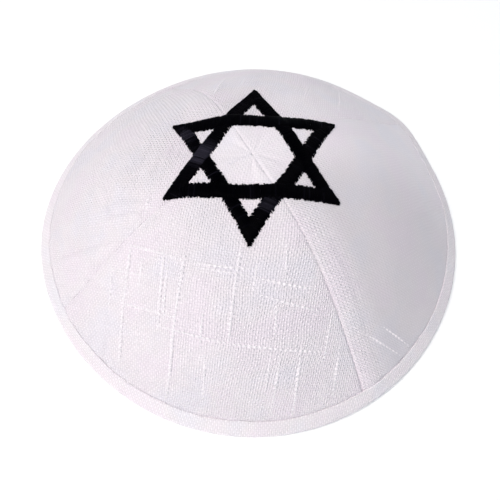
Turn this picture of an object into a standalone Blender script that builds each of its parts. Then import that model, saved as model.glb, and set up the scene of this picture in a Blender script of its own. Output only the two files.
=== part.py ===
"""A round skullcap: four linen panels sewn to a low dome, a folded tape round the rim, a raised star on the crown."""
import math

import bmesh
import bpy
import numpy as np

for thing in list(bpy.data.objects):
    bpy.data.objects.remove(thing, do_unlink=True)

# Sizes in metres
RIM_RADIUS = 0.0853
CROWN_RISE = 0.0396
HEM_LIFT = 0.0015
CLOTH = 0.0011
TAPE = 0.0010
TAPE_WIDTH = 0.0060
TAPE_PROUD = 0.0005
TAPE_BEVEL = 0.0003
CLEARANCE = 0.0003
DIP_LENGTH = 0.0045
FLAT_WIDTH = 0.0020
STAR_RADIUS = 0.0344
STAR_BAR = 0.0043
STAR_THICKNESS = 0.0008

# Angles in degrees, counted from +X towards +Y
STAR_TURN = -2.7
CORNER_AZIMUTH = 33.0
CORNER_SPREAD = 11.0

# Shares of the rim's radius
CORNER_REACH = 0.036
LEAN_X = 0.026
LEAN_Y = -0.0155

# How sharply the cloth turns at a seam: 1 is a crease, 2 is a soft wave
SEAM_SOFTNESS = 1.6

# Height of the cloth above the hem as a share of CROWN_RISE, at shares of RIM_RADIUS
RISE_COLUMNS = ("radius", "on_seam", "mid_panel")
RISE_ROWS = (
    (0.00, 1.000, 1.000),
    (0.15, 1.004, 0.979),
    (0.30, 0.975, 0.929),
    (0.45, 0.862, 0.847),
    (0.60, 0.664, 0.707),
    (0.75, 0.409, 0.478),
    (0.90, 0.152, 0.174),
    (1.00, 0.000, 0.000),
)

# Waves of the rim's plan, as shares of RIM_RADIUS
PLAN_COLUMNS = ("waves", "cosine", "sine")
PLAN_ROWS = (
    (1, 0.0009, -0.0053),
    (2, -0.0139, -0.0015),
    (3, -0.0082, 0.0000),
    (4, 0.0031, -0.0008),
)

# Seams from the crown's centre to the rim: where each ends, and how far its middle bows sideways
SEAM_COLUMNS = ("name", "azimuth", "bow")
SEAM_ROWS = (
    ("front_right", -64.1, 0.6),
    ("back_right", 32.8, -2.5),
    ("back_left", 115.6, 0.3),
    ("left_front", 210.3, 0.0),
)

# Panels between neighbouring seams
PANEL_COLUMNS = ("name", "seam_before", "seam_after")
PANEL_ROWS = (
    ("panel_right", "front_right", "back_right"),
    ("panel_back", "back_right", "back_left"),
    ("panel_left", "back_left", "left_front"),
    ("panel_front", "left_front", "front_right"),
)

# Fineness of the surfaces
MERIDIAN_STEPS = 240
PANEL_COLUMNS_ACROSS = 20
PANEL_ROWS_DOWN = 13
DIP_ROWS = 4
FOLD_STEPS = 4
SLOT_STEPS = 2
BAR_STEPS_ACROSS = 2
INNER_BAR_STEPS = 4
OUTER_BAR_STEPS = 3

CREASE_ANGLE = 40
STAR_POINTS = 6
STAR_TURN_STEPS = 4
ANGLE_TOLERANCE = 1e-9

LINEN_COLOUR = (0.83, 0.81, 0.83, 1.0)
TAPE_COLOUR = (0.85, 0.83, 0.85, 1.0)
THREAD_COLOUR = (0.008, 0.008, 0.014, 1.0)
CLOTH_ROUGHNESS = 0.9
CLOTH_SHEEN = 0.3
THREAD_ROUGHNESS = 0.45
THREAD_SHEEN = 0.2
FULL_TURN = 2 * math.pi


def column(rows, names, name):
    """One named column of a table."""
    place_in_row = names.index(name)
    return [row[place_in_row] for row in rows]


def spline(x, y):
    """A smooth curve through a table's rows, level at its first row and straight at its last."""
    x = np.array(x)
    y = np.array(y)
    step = np.diff(x)
    rise = np.diff(y) / step
    count = len(x)
    matrix = np.zeros((count, count))
    right = np.zeros(count)
    matrix[0, 0] = 1.0
    for i in range(1, count - 1):
        matrix[i, i - 1] = step[i]
        matrix[i, i] = 2 * (step[i - 1] + step[i])
        matrix[i, i + 1] = step[i - 1]
        right[i] = 3 * (step[i] * rise[i - 1] + step[i - 1] * rise[i])
    matrix[-1, -2] = 1.0
    matrix[-1, -1] = 2.0
    right[-1] = 3 * rise[-1]
    slope = np.linalg.solve(matrix, right)

    def curve(at):
        i = np.clip(np.searchsorted(x, at, side="right") - 1, 0, count - 2)
        f = (at - x[i]) / step[i]
        start = (1 + 2 * f) * (1 - f) ** 2 * y[i] + f * (1 - f) ** 2 * step[i] * slope[i]
        end = f * f * (3 - 2 * f) * y[i + 1] + f * f * (f - 1) * step[i] * slope[i + 1]
        return start + end

    return curve


rise_on_seam = spline(column(RISE_ROWS, RISE_COLUMNS, "radius"), column(RISE_ROWS, RISE_COLUMNS, "on_seam"))
rise_mid_panel = spline(column(RISE_ROWS, RISE_COLUMNS, "radius"), column(RISE_ROWS, RISE_COLUMNS, "mid_panel"))
SEAM_AZIMUTH = {row[0]: math.radians(row[1]) for row in SEAM_ROWS}
SEAM_BOW = {row[0]: math.radians(row[2]) for row in SEAM_ROWS}


def between_seams(azimuth):
    """The seams on either side of an azimuth, and how far it lies from the first to the second."""
    for name, before, after in PANEL_ROWS:
        span = (SEAM_AZIMUTH[after] - SEAM_AZIMUTH[before]) % FULL_TURN
        part = (azimuth - SEAM_AZIMUTH[before] + ANGLE_TOLERANCE) % FULL_TURN
        if part <= span + 2 * ANGLE_TOLERANCE:
            return before, after, min(part / span, 1.0)
    return before, after, 1.0


def meridian(azimuth):
    """The outer face of the cloth from the crown's centre to the hem: arc length, radius, height and slope."""
    before, after, part = between_seams(azimuth)
    middle = math.sin(math.pi * part) ** SEAM_SOFTNESS
    share = np.linspace(0, 1, MERIDIAN_STEPS + 1)
    height = CROWN_RISE * ((1 - middle) * rise_on_seam(share) + middle * rise_mid_panel(share))
    radius = RIM_RADIUS * share
    arc = np.concatenate([[0], np.cumsum(np.hypot(np.diff(radius), np.diff(height)))])
    slope = np.arctan2(-np.gradient(height), np.gradient(radius))
    return arc, radius, height + HEM_LIFT, slope


def on_meridian(line, arc, depth):
    """Radius and height of a point on a meridian, a depth below the cloth's outer face."""
    slope = np.interp(arc, line[0], line[3])
    radius = np.interp(arc, line[0], line[1]) - depth * np.sin(slope)
    height = np.interp(arc, line[0], line[2]) - depth * np.cos(slope)
    return radius, height


def seam_bow(azimuth, share):
    """How far a meridian is turned sideways at a share of the rim's radius, none at its two ends."""
    before, after, part = between_seams(azimuth)
    bow = SEAM_BOW[before] * (1 - part) + SEAM_BOW[after] * part
    return 4 * bow * share * (1 - share)


def place(azimuth, radius, height):
    """A point of the dome: the rim's waves and corner, the seams' bow and the crown's lean are added here."""
    share = radius / RIM_RADIUS
    turned = azimuth + seam_bow(azimuth, share)
    reach = 1.0
    for waves, cosine, sine in PLAN_ROWS:
        reach += cosine * math.cos(waves * azimuth) + sine * math.sin(waves * azimuth)
    off_corner = (azimuth - math.radians(CORNER_AZIMUTH) + math.pi) % FULL_TURN - math.pi
    corner = CORNER_REACH * math.exp(-(off_corner / math.radians(CORNER_SPREAD)) ** 2)
    reach *= 1 + corner * share ** 2
    lean = RIM_RADIUS * (1 - share ** 2)
    x = reach * radius * math.cos(turned) + LEAN_X * lean
    y = reach * radius * math.sin(turned) + LEAN_Y * lean
    return x, y, height


# The cloth lies between the two legs of the folded tape, with a clearance on each side
CLOTH_IN_TAPE = TAPE - TAPE_PROUD + CLEARANCE
TAPE_DEPTH = 2 * TAPE + 2 * CLEARANCE + CLOTH
FOLD_RADIUS = TAPE_DEPTH / 2
FOLD_MIDDLE = FOLD_RADIUS - TAPE_PROUD
SLOT_RADIUS = FOLD_RADIUS - TAPE
FOLD_HEIGHT = math.sqrt(FOLD_RADIUS ** 2 - (FLAT_WIDTH / 2) ** 2)


def fold_arc(line):
    """Where along a meridian the fold's centre lies, so that the fold's flat underside is at height 0."""
    heights = line[2] - FOLD_MIDDLE * np.cos(line[3])
    return np.interp(-FOLD_HEIGHT, -heights, line[0])


def cloth_depth(arc, length):
    """How far the panel's outer face is drawn in, as it nears the tape."""
    start = length - TAPE_WIDTH - DIP_LENGTH
    part = np.clip((arc - start) / DIP_LENGTH, 0, 1)
    return CLOTH_IN_TAPE * part * part * (3 - 2 * part)


def tape_section(azimuth):
    """The folded tape's section on one meridian, as radius and height, all the way round."""
    line = meridian(azimuth)
    top = line[0][-1] - TAPE_WIDTH
    fold = fold_arc(line)
    slope = np.interp(fold, line[0], line[3])
    centre = on_meridian(line, fold, FOLD_MIDDLE)
    inside = TAPE_DEPTH - TAPE_PROUD

    def round_fold(radius, turn):
        out = math.cos(turn) * math.sin(slope) + math.sin(turn) * math.cos(slope)
        up = math.cos(turn) * math.cos(slope) - math.sin(turn) * math.sin(slope)
        return centre[0] + radius * out, centre[1] + radius * up

    to_floor = math.acos(-FOLD_HEIGHT / FOLD_RADIUS) - slope
    points = [on_meridian(line, top, TAPE_BEVEL - TAPE_PROUD)]
    points.append(on_meridian(line, top + TAPE_BEVEL, -TAPE_PROUD))
    for i in range(FOLD_STEPS + 1):
        points.append(round_fold(FOLD_RADIUS, to_floor * i / FOLD_STEPS))
    points[-1] = (points[-1][0], 0.0)
    points.append((points[-1][0] - FLAT_WIDTH, 0.0))
    points.append(on_meridian(line, fold - FOLD_RADIUS / 2, inside))
    points.append(on_meridian(line, top + TAPE_BEVEL, inside))
    points.append(on_meridian(line, top, inside - TAPE_BEVEL))
    points.append(on_meridian(line, top, inside - TAPE))
    for i in range(SLOT_STEPS + 1):
        points.append(round_fold(SLOT_RADIUS, math.pi * (1 - i / SLOT_STEPS)))
    points.append(on_meridian(line, top, TAPE - TAPE_PROUD))
    return points


def rim_azimuths():
    """Azimuths of the tape's sections: each panel's share, with one section on every seam."""
    azimuths = []
    for name, before, after in PANEL_ROWS:
        span = (SEAM_AZIMUTH[after] - SEAM_AZIMUTH[before]) % FULL_TURN
        for i in range(PANEL_COLUMNS_ACROSS):
            azimuths.append(SEAM_AZIMUTH[before] + span * i / PANEL_COLUMNS_ACROSS)
    return azimuths


def rim_middle():
    """The middle of the rim's box in plan, which becomes the part's origin."""
    spots = []
    for azimuth in rim_azimuths():
        section = tape_section(azimuth)
        spots += [place(azimuth, radius, height)[:2] for radius, height in section]
    spots = np.array(spots)
    return (spots.min(axis=0) + spots.max(axis=0)) / 2


MIDDLE_X, MIDDLE_Y = rim_middle()


def point(azimuth, radius, height):
    """A point of the dome, counted from the part's origin."""
    x, y, z = place(azimuth, radius, height)
    return x - MIDDLE_X, y - MIDDLE_Y, z


def give_material(thing, name, colour, roughness, sheen):
    material = bpy.data.materials.new(name)
    material.use_nodes = True
    shader = material.node_tree.nodes["Principled BSDF"]
    shader.inputs["Base Color"].default_value = colour
    shader.inputs["Roughness"].default_value = roughness
    shader.inputs["Metallic"].default_value = 0.0
    shader.inputs["Sheen Weight"].default_value = sheen
    thing.data.materials.append(material)


def make_object(name, shape):
    """One closed solid from a bmesh, its faces turned outward and shaded smooth."""
    bmesh.ops.recalc_face_normals(shape, faces=shape.faces)
    mesh = bpy.data.meshes.new(name)
    shape.to_mesh(mesh)
    shape.free()
    mesh.shade_smooth()
    mesh.set_sharp_from_angle(angle=math.radians(CREASE_ANGLE))
    thing = bpy.data.objects.new(name, mesh)
    bpy.context.scene.collection.objects.link(thing)
    return thing


def make_panel(name, before, after):
    """One gore of cloth: an outer and an inner skin, joined all round their edge."""
    start = SEAM_AZIMUTH[before]
    span = (SEAM_AZIMUTH[after] - start) % FULL_TURN
    shape = bmesh.new()
    skins = []
    tip_radius = CLEARANCE / 2 / math.sin(span / 2)
    for under in (0.0, CLOTH):
        tip = shape.verts.new(point(start + span / 2, tip_radius, CROWN_RISE + HEM_LIFT - under))
        skins.append({"tip": tip, "rows": []})
    lines = []
    for i in range(PANEL_COLUMNS_ACROSS + 1):
        lines.append(meridian(start + span * i / PANEL_COLUMNS_ACROSS))
    for j in range(1, PANEL_ROWS_DOWN + DIP_ROWS + 1):
        upper_row = []
        lower_row = []
        for i, line in enumerate(lines):
            length = line[0][-1]
            dip_start = length - TAPE_WIDTH - DIP_LENGTH
            if j <= PANEL_ROWS_DOWN:
                arc = dip_start * j / PANEL_ROWS_DOWN
            else:
                arc = dip_start + (fold_arc(line) - dip_start) * (j - PANEL_ROWS_DOWN) / DIP_ROWS
            depth = cloth_depth(arc, length)
            radius, height = on_meridian(line, arc, depth)
            trim = CLEARANCE / 2 / radius
            azimuth = start + trim + (span - 2 * trim) * i / PANEL_COLUMNS_ACROSS
            upper_row.append(shape.verts.new(point(azimuth, radius, height)))
            radius, height = on_meridian(line, arc, depth + CLOTH)
            lower_row.append(shape.verts.new(point(azimuth, radius, height)))
        skins[0]["rows"].append(upper_row)
        skins[1]["rows"].append(lower_row)
    for skin in skins:
        rows = skin["rows"]
        for i in range(PANEL_COLUMNS_ACROSS):
            shape.faces.new((skin["tip"], rows[0][i], rows[0][i + 1]))
            for above, below in zip(rows[:-1], rows[1:]):
                shape.faces.new((above[i], below[i], below[i + 1], above[i + 1]))
    edges = [edge for edge in shape.edges if edge.is_boundary]
    bmesh.ops.bridge_loops(shape, edges=edges)
    return make_object(name, shape)


def make_rim_band(name):
    """The folded tape: its section on every rim azimuth, joined round in a ring."""
    shape = bmesh.new()
    rings = []
    for azimuth in rim_azimuths():
        rings.append([shape.verts.new(point(azimuth, r, h)) for r, h in tape_section(azimuth)])
    for i, ring in enumerate(rings):
        following = rings[(i + 1) % len(rings)]
        for j in range(len(ring)):
            k = (j + 1) % len(ring)
            shape.faces.new((ring[j], ring[k], following[k], following[j]))
    return make_object(name, shape)


STAR_OUT = STAR_RADIUS / 2
STAR_IN = STAR_OUT - STAR_BAR


def star_point(x, y, height):
    """A point of the star, laid on the dome: its distance from the centre runs along the cloth."""
    distance = math.hypot(x, y)
    wanted = math.atan2(y, x) + math.radians(STAR_TURN)
    azimuth = wanted
    for i in range(STAR_TURN_STEPS):
        line = meridian(azimuth)
        radius, rise = on_meridian(line, distance, -height)
        azimuth = wanted - seam_bow(azimuth, radius / RIM_RADIUS)
    return point(azimuth, radius, rise)


def bar_point(bar, distance, other, other_distance):
    """Where two of the star's straight edges cross: bar number, distance from the centre, twice."""
    turn = math.radians(60 * (other - bar))
    along = (other_distance - distance * math.cos(turn)) / math.sin(turn)
    facing = math.radians(30 + 60 * bar)
    x = distance * math.cos(facing) - along * math.sin(facing)
    y = distance * math.sin(facing) + along * math.cos(facing)
    return np.array((x, y))


def star_fields():
    """The star's four-sided fields: its tips, its crossings and the bars between them."""
    fields = []
    for bar in range(STAR_POINTS):
        near = bar + 1
        far = bar + 2
        back = bar - 1
        corner = {}
        for label, other in (("near", near), ("far", far), ("back", back)):
            for side, distance in (("in", STAR_IN), ("out", STAR_OUT)):
                for own_side, own in (("in", STAR_IN), ("out", STAR_OUT)):
                    corner[own_side, label, side] = bar_point(bar, own, other, distance)
        fields.append((corner["in", "back", "in"], corner["in", "near", "in"], corner["out", "near", "in"],
                       corner["out", "back", "in"], INNER_BAR_STEPS))
        fields.append((corner["in", "near", "in"], corner["in", "near", "out"], corner["out", "near", "out"],
                       corner["out", "near", "in"], BAR_STEPS_ACROSS))
        fields.append((corner["in", "near", "out"], corner["in", "far", "in"], corner["out", "far", "in"],
                       corner["out", "near", "out"], OUTER_BAR_STEPS))
        fields.append((corner["in", "far", "in"], corner["in", "far", "out"], corner["out", "far", "out"],
                       corner["out", "far", "in"], BAR_STEPS_ACROSS))
        far_back = bar - 2
        inner_far = bar_point(bar, STAR_IN, far_back, STAR_IN)
        outer_far = bar_point(bar, STAR_OUT, far_back, STAR_IN)
        inner_near = bar_point(bar, STAR_IN, back, STAR_OUT)
        outer_near = bar_point(bar, STAR_OUT, back, STAR_OUT)
        fields.append((inner_far, inner_near, outer_near, outer_far, OUTER_BAR_STEPS))
    return fields


def make_star(name):
    """Two crossing triangles of raised stitching: a skin on the dome, thickened away from it."""
    shape = bmesh.new()
    known = {}

    def vertex(spot):
        key = (round(spot[0] * 1e6), round(spot[1] * 1e6))
        if key not in known:
            known[key] = shape.verts.new(star_point(spot[0], spot[1], CLEARANCE))
        return known[key]

    for a, b, c, d, steps in star_fields():
        grid = []
        for i in range(steps + 1):
            along = i / steps
            low = a + (b - a) * along
            high = d + (c - d) * along
            grid.append([vertex(low + (high - low) * j / BAR_STEPS_ACROSS) for j in range(BAR_STEPS_ACROSS + 1)])
        for first, second in zip(grid[:-1], grid[1:]):
            for j in range(BAR_STEPS_ACROSS):
                shape.faces.new((first[j], second[j], second[j + 1], first[j + 1]))
    thing = make_object(name, shape)
    outward = sum(face.normal.z for face in thing.data.polygons) > 0
    thicken = thing.modifiers.new("thickness", "SOLIDIFY")
    thicken.thickness = STAR_THICKNESS
    thicken.offset = 1.0 if outward else -1.0
    return thing


for panel_name, seam_before, seam_after in PANEL_ROWS:
    panel = make_panel(panel_name, seam_before, seam_after)
    give_material(panel, panel_name + "_linen", LINEN_COLOUR, CLOTH_ROUGHNESS, CLOTH_SHEEN)

rim_band = make_rim_band("rim_band")
give_material(rim_band, "rim_band_linen", TAPE_COLOUR, CLOTH_ROUGHNESS, CLOTH_SHEEN)

star = make_star("star_embroidery")
give_material(star, "star_thread", THREAD_COLOUR, THREAD_ROUGHNESS, THREAD_SHEEN)
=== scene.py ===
"""The looks of a white linen skullcap with a black embroidered star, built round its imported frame."""

import math

import bpy
import numpy as np
from mathutils import Matrix, Vector


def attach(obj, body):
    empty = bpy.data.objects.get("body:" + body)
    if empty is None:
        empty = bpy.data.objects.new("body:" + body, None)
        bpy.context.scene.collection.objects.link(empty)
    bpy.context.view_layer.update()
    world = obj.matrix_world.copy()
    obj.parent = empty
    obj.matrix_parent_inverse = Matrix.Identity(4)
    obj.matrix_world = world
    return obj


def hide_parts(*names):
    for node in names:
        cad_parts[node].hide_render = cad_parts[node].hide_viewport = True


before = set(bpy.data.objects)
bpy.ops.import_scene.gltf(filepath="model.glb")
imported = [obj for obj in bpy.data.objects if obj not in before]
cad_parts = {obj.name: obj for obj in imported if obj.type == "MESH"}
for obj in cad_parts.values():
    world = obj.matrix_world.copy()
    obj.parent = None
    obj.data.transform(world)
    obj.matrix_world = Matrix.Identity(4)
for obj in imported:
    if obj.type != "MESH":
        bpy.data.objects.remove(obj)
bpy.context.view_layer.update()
rng = np.random.default_rng(7)
TAU = 2 * math.pi
MM = 0.001

# ---- the dome, as in the part's source (metres, degrees)
RIM_RADIUS = 0.0853
CROWN_RISE = 0.0396
HEM_LIFT = 0.0015
CLOTH = 0.0011
TAPE = 0.0010
TAPE_WIDTH = 0.0060
TAPE_PROUD = 0.0005
CLEARANCE = 0.0003
FLAT_WIDTH = 0.0020
STAR_RADIUS = 0.0344
STAR_BAR = 0.0043
STAR_TURN = -2.7
CORNER_AZIMUTH = 33.0
CORNER_SPREAD = 11.0
CORNER_REACH = 0.036
LEAN_X = 0.026
LEAN_Y = -0.0155
SEAM_SOFTNESS = 1.6
RISE_RADIUS = (0.00, 0.15, 0.30, 0.45, 0.60, 0.75, 0.90, 1.00)
RISE_ON_SEAM = (1.000, 1.004, 0.975, 0.862, 0.664, 0.409, 0.152, 0.000)
RISE_MID_PANEL = (1.000, 0.979, 0.929, 0.847, 0.707, 0.478, 0.174, 0.000)
PLAN_ROWS = ((1, 0.0009, -0.0053), (2, -0.0139, -0.0015), (3, -0.0082, 0.0), (4, 0.0031, -0.0008))
SEAM_AZIMUTH = np.radians(np.array((-64.1, 32.8, 115.6, 210.3)))  # front right, back right, back left, left front
SEAM_BOW = np.radians(np.array((1.4, -2.5, 0.3, 0.0)))
PANELS = ("panel_right", "panel_back", "panel_left", "panel_front")
PANEL_SPAN = (np.roll(SEAM_AZIMUTH, -1) - SEAM_AZIMUTH) % TAU
KAPPA = 0.878  # the rim's radius over a meridian's length: how far a gore opens when it is laid flat
GRAIN = np.radians(np.array((-1.0, 2.0, 3.0, 6.0)))  # each panel's threads, from its centre line


def polar(distance, degrees):
    return distance * math.cos(math.radians(degrees)), distance * math.sin(math.radians(degrees))


def smooth(a, b, x):
    t = np.clip((x - a) / (b - a), 0, 1)
    return t * t * (3 - 2 * t)


def wrapped(angle):
    """An angle brought between minus and plus half a turn."""
    return (angle + math.pi) % TAU - math.pi


def spline(x, y):
    x = np.array(x)
    y = np.array(y)
    step = np.diff(x)
    rise = np.diff(y) / step
    n = len(x)
    m = np.zeros((n, n))
    b = np.zeros(n)
    m[0, 0] = 1.0
    for i in range(1, n - 1):
        m[i, i - 1] = step[i]
        m[i, i] = 2 * (step[i - 1] + step[i])
        m[i, i + 1] = step[i - 1]
        b[i] = 3 * (step[i] * rise[i - 1] + step[i - 1] * rise[i])
    m[-1, -2] = 1.0
    m[-1, -1] = 2.0
    b[-1] = 3 * rise[-1]
    s = np.linalg.solve(m, b)

    def curve(at):
        i = np.clip(np.searchsorted(x, at, side="right") - 1, 0, n - 2)
        f = (at - x[i]) / step[i]
        return ((1 + 2 * f) * (1 - f) ** 2 * y[i] + f * (1 - f) ** 2 * step[i] * s[i]
                + f * f * (3 - 2 * f) * y[i + 1] + f * f * (f - 1) * step[i] * s[i + 1])

    return curve


rise_on_seam = spline(RISE_RADIUS, RISE_ON_SEAM)
rise_mid_panel = spline(RISE_RADIUS, RISE_MID_PANEL)


def where(azimuth):
    """Panel number and how far across it each azimuth lies."""
    azimuth = np.asarray(azimuth, float)
    part = (azimuth[..., None] - SEAM_AZIMUTH) % TAU
    panel = part.argmin(-1)
    across = np.take_along_axis(part, panel[..., None], -1)[..., 0] / PANEL_SPAN[panel]
    return panel, np.clip(across, 0, 1)


# A table of the dome: radius, height and slope at each azimuth and arc length
AZ_STEPS = 1440
ARC_STEPS = 260
_az = np.arange(AZ_STEPS) * TAU / AZ_STEPS
_share = np.linspace(0, 1, 601)
_panel, _across = where(_az)
_mid = np.sin(math.pi * _across) ** SEAM_SOFTNESS
_height = CROWN_RISE * ((1 - _mid)[:, None] * rise_on_seam(_share) + _mid[:, None] * rise_mid_panel(_share))
_steps = np.hypot(np.diff(_share) * RIM_RADIUS, np.diff(_height, axis=1))
_arc = np.concatenate([np.zeros((AZ_STEPS, 1)), np.cumsum(_steps, 1)], 1)
LENGTH = _arc[:, -1].copy()
_slope = np.arctan2(-np.gradient(_height, axis=1), np.gradient(RIM_RADIUS * _share)[None])
_even = np.linspace(0, 1, ARC_STEPS + 1)
TABLE = np.zeros((AZ_STEPS, ARC_STEPS + 1, 3))
for _i in range(AZ_STEPS):
    _at = _even * LENGTH[_i]
    TABLE[_i, :, 0] = np.interp(_at, _arc[_i], RIM_RADIUS * _share)
    TABLE[_i, :, 1] = np.interp(_at, _arc[_i], _height[_i]) + HEM_LIFT
    TABLE[_i, :, 2] = np.interp(_at, _arc[_i], _slope[_i])


def length_at(azimuth):
    a = (np.asarray(azimuth, float) % TAU) / TAU * AZ_STEPS
    i = np.floor(a).astype(int) % AZ_STEPS
    f = a - np.floor(a)
    return LENGTH[i] * (1 - f) + LENGTH[(i + 1) % AZ_STEPS] * f


def section(azimuth, arc):
    """Radius, height and slope of the cloth's outer face."""
    azimuth, arc = np.broadcast_arrays(np.asarray(azimuth, float), np.asarray(arc, float))
    a = (azimuth % TAU) / TAU * AZ_STEPS
    i = np.floor(a).astype(int) % AZ_STEPS
    fa = (a - np.floor(a))[..., None]
    s = np.clip(arc / length_at(azimuth), 0, 1) * ARC_STEPS
    j = np.minimum(np.floor(s).astype(int), ARC_STEPS - 1)
    fs = (s - j)[..., None]
    k = (i + 1) % AZ_STEPS
    low = TABLE[i, j] * (1 - fs) + TABLE[i, j + 1] * fs
    high = TABLE[k, j] * (1 - fs) + TABLE[k, j + 1] * fs
    both = low * (1 - fa) + high * fa
    return both[..., 0], both[..., 1], both[..., 2]


def bow(azimuth, share):
    panel, across = where(azimuth)
    return 4 * (SEAM_BOW[panel] * (1 - across) + SEAM_BOW[(panel + 1) % 4] * across) * share * (1 - share)


def place(azimuth, radius, height):
    """A point of the dome from its place on a meridian, before the part's origin is taken off."""
    share = radius / RIM_RADIUS
    turned = azimuth + bow(azimuth, share)
    reach = 1.0 + sum(c * np.cos(w * azimuth) + s * np.sin(w * azimuth) for w, c, s in PLAN_ROWS)
    off = wrapped(azimuth - math.radians(CORNER_AZIMUTH))
    reach = reach * (1 + CORNER_REACH * np.exp(-(off / math.radians(CORNER_SPREAD)) ** 2) * share ** 2)
    lean = RIM_RADIUS * (1 - share ** 2)
    x = reach * radius * np.cos(turned) + LEAN_X * lean
    y = reach * radius * np.sin(turned) + LEAN_Y * lean
    return np.stack([x, y, height + 0 * x], -1)


THICK = 0.0009
COVERED = 0.00012  # how far the cloth dips to pass under the tape
TAPE_TOP = 0.00017  # how far the tape stands above the cloth beside it
FLAT_AZIMUTH = math.radians(90)  # the tape is pressed flattest at the back


def pressed(azimuth):
    """How proud the tape is sewn: 1 in front, 0.4 at the back."""
    return 0.7 - 0.3 * np.cos(azimuth - FLAT_AZIMUTH)


# ---- relief of the cloth, outward from the plain dome
SEAM_CREASE = np.array((0.9, 0.30, 0.7, 0.75))  # how deep each seam is drawn in near the crown
SEAM_CREASE_RIM = np.array((1.0, 0.25, 0.7, 0.35))  # and near the rim
SEAM_STRIP = np.array((0.9, 0.35, 0.45, 0.30))  # how strongly the allowance lifts the panel after each seam
SEAM_STRIP_BEFORE = np.array((0.15, 0.30, 0.25, 0.35))  # and the panel before it
CREASE_DEPTH, CREASE_WIDTH = 0.00034, 0.00045  # the line of a seam
TROUGH_DEPTH, TROUGH_WIDTH = 0.00014, 0.0022  # the wider hollow along it
STRIP_LIFT, STRIP_WIDTH = 0.00030, 0.0072  # the cloth over the turned edges
SWELL_LIFT, SWELL_WIDTH = 0.00055, 0.007  # and its round swelling near the rim
SEAM_STITCH = 0.0033  # length of the seams' stitches
TAPE_STITCH = 0.0093  # and of those that pinch the tape
CREVICE, CREVICE_WIDTH = 0.00012, 0.00045  # how far the cloth is drawn in just beside the tape
GAPE_AZIMUTH, GAPE_SPREAD = math.radians(-80), math.radians(45)  # where it is drawn in most
FAN_LIFT, FAN_WAY, FAN_SPREAD, FAN_FOLDS = 0.00030, math.radians(176), 0.55, 11.0
# sharp creases pressed into the left panel: arc in mm and azimuth in degrees at both ends, depth in mm
CREASES = ((57.5, 195.5, 39.5, 206.0, 0.55), (91.0, 195.0, 57.0, 206.6, 0.40))
CREASE_LINE, RIDGE_LINE, RIDGE_ASIDE = 0.00085, 0.0012, 0.0020
WAVES = [(rng.uniform(0.018, 0.045), rng.uniform(0, TAU), rng.uniform(0, TAU), rng.uniform(0.4, 1.0))
         for _ in range(14)]  # length, way, phase and weight


def waves(x, y):
    """Slow unevenness of the cloth, from -1 to 1."""
    total = 0.0
    for wavelength, way, phase, weight in WAVES:
        total = total + weight * np.sin(TAU * (x * math.cos(way) + y * math.sin(way)) / wavelength + phase)
    return total / 5.0


def fan_folds(x, y):
    """Soft folds that fan out to the left from the star's lower left tip."""
    tip = math.radians(210 + STAR_TURN)
    px = x - STAR_RADIUS * math.cos(tip)
    py = y - STAR_RADIUS * math.sin(tip)
    away = np.hypot(px, py)
    way = wrapped(np.arctan2(py, px) - FAN_WAY)
    fan = np.exp(-(way / FAN_SPREAD) ** 2) * smooth(0.002, 0.012, away) * (1 - smooth(0.026, 0.044, away))
    return FAN_LIFT * fan * np.cos(way * FAN_FOLDS + 0.6)


def crease(azimuth, arc, arc_a, way_a, arc_b, way_b, depth):
    """How deep one pressed crease is, with the low ridge on its one side."""
    start = np.array(polar(arc_a, way_a)) * MM
    run = np.array(polar(arc_b, way_b)) * MM - start
    dx = arc * np.cos(azimuth) - start[0]
    dy = arc * np.sin(azimuth) - start[1]
    length = math.hypot(*run)
    along = (dx * run[0] + dy * run[1]) / length
    aside = (dy * run[0] - dx * run[1]) / length
    ends = smooth(0.0, 0.004, along) * (1 - smooth(length - 0.005, length, along))
    return depth * MM * ends * (np.exp(-(aside / CREASE_LINE) ** 2)
                                - 0.7 * np.exp(-((aside + RIDGE_ASIDE) / RIDGE_LINE) ** 2))


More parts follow.
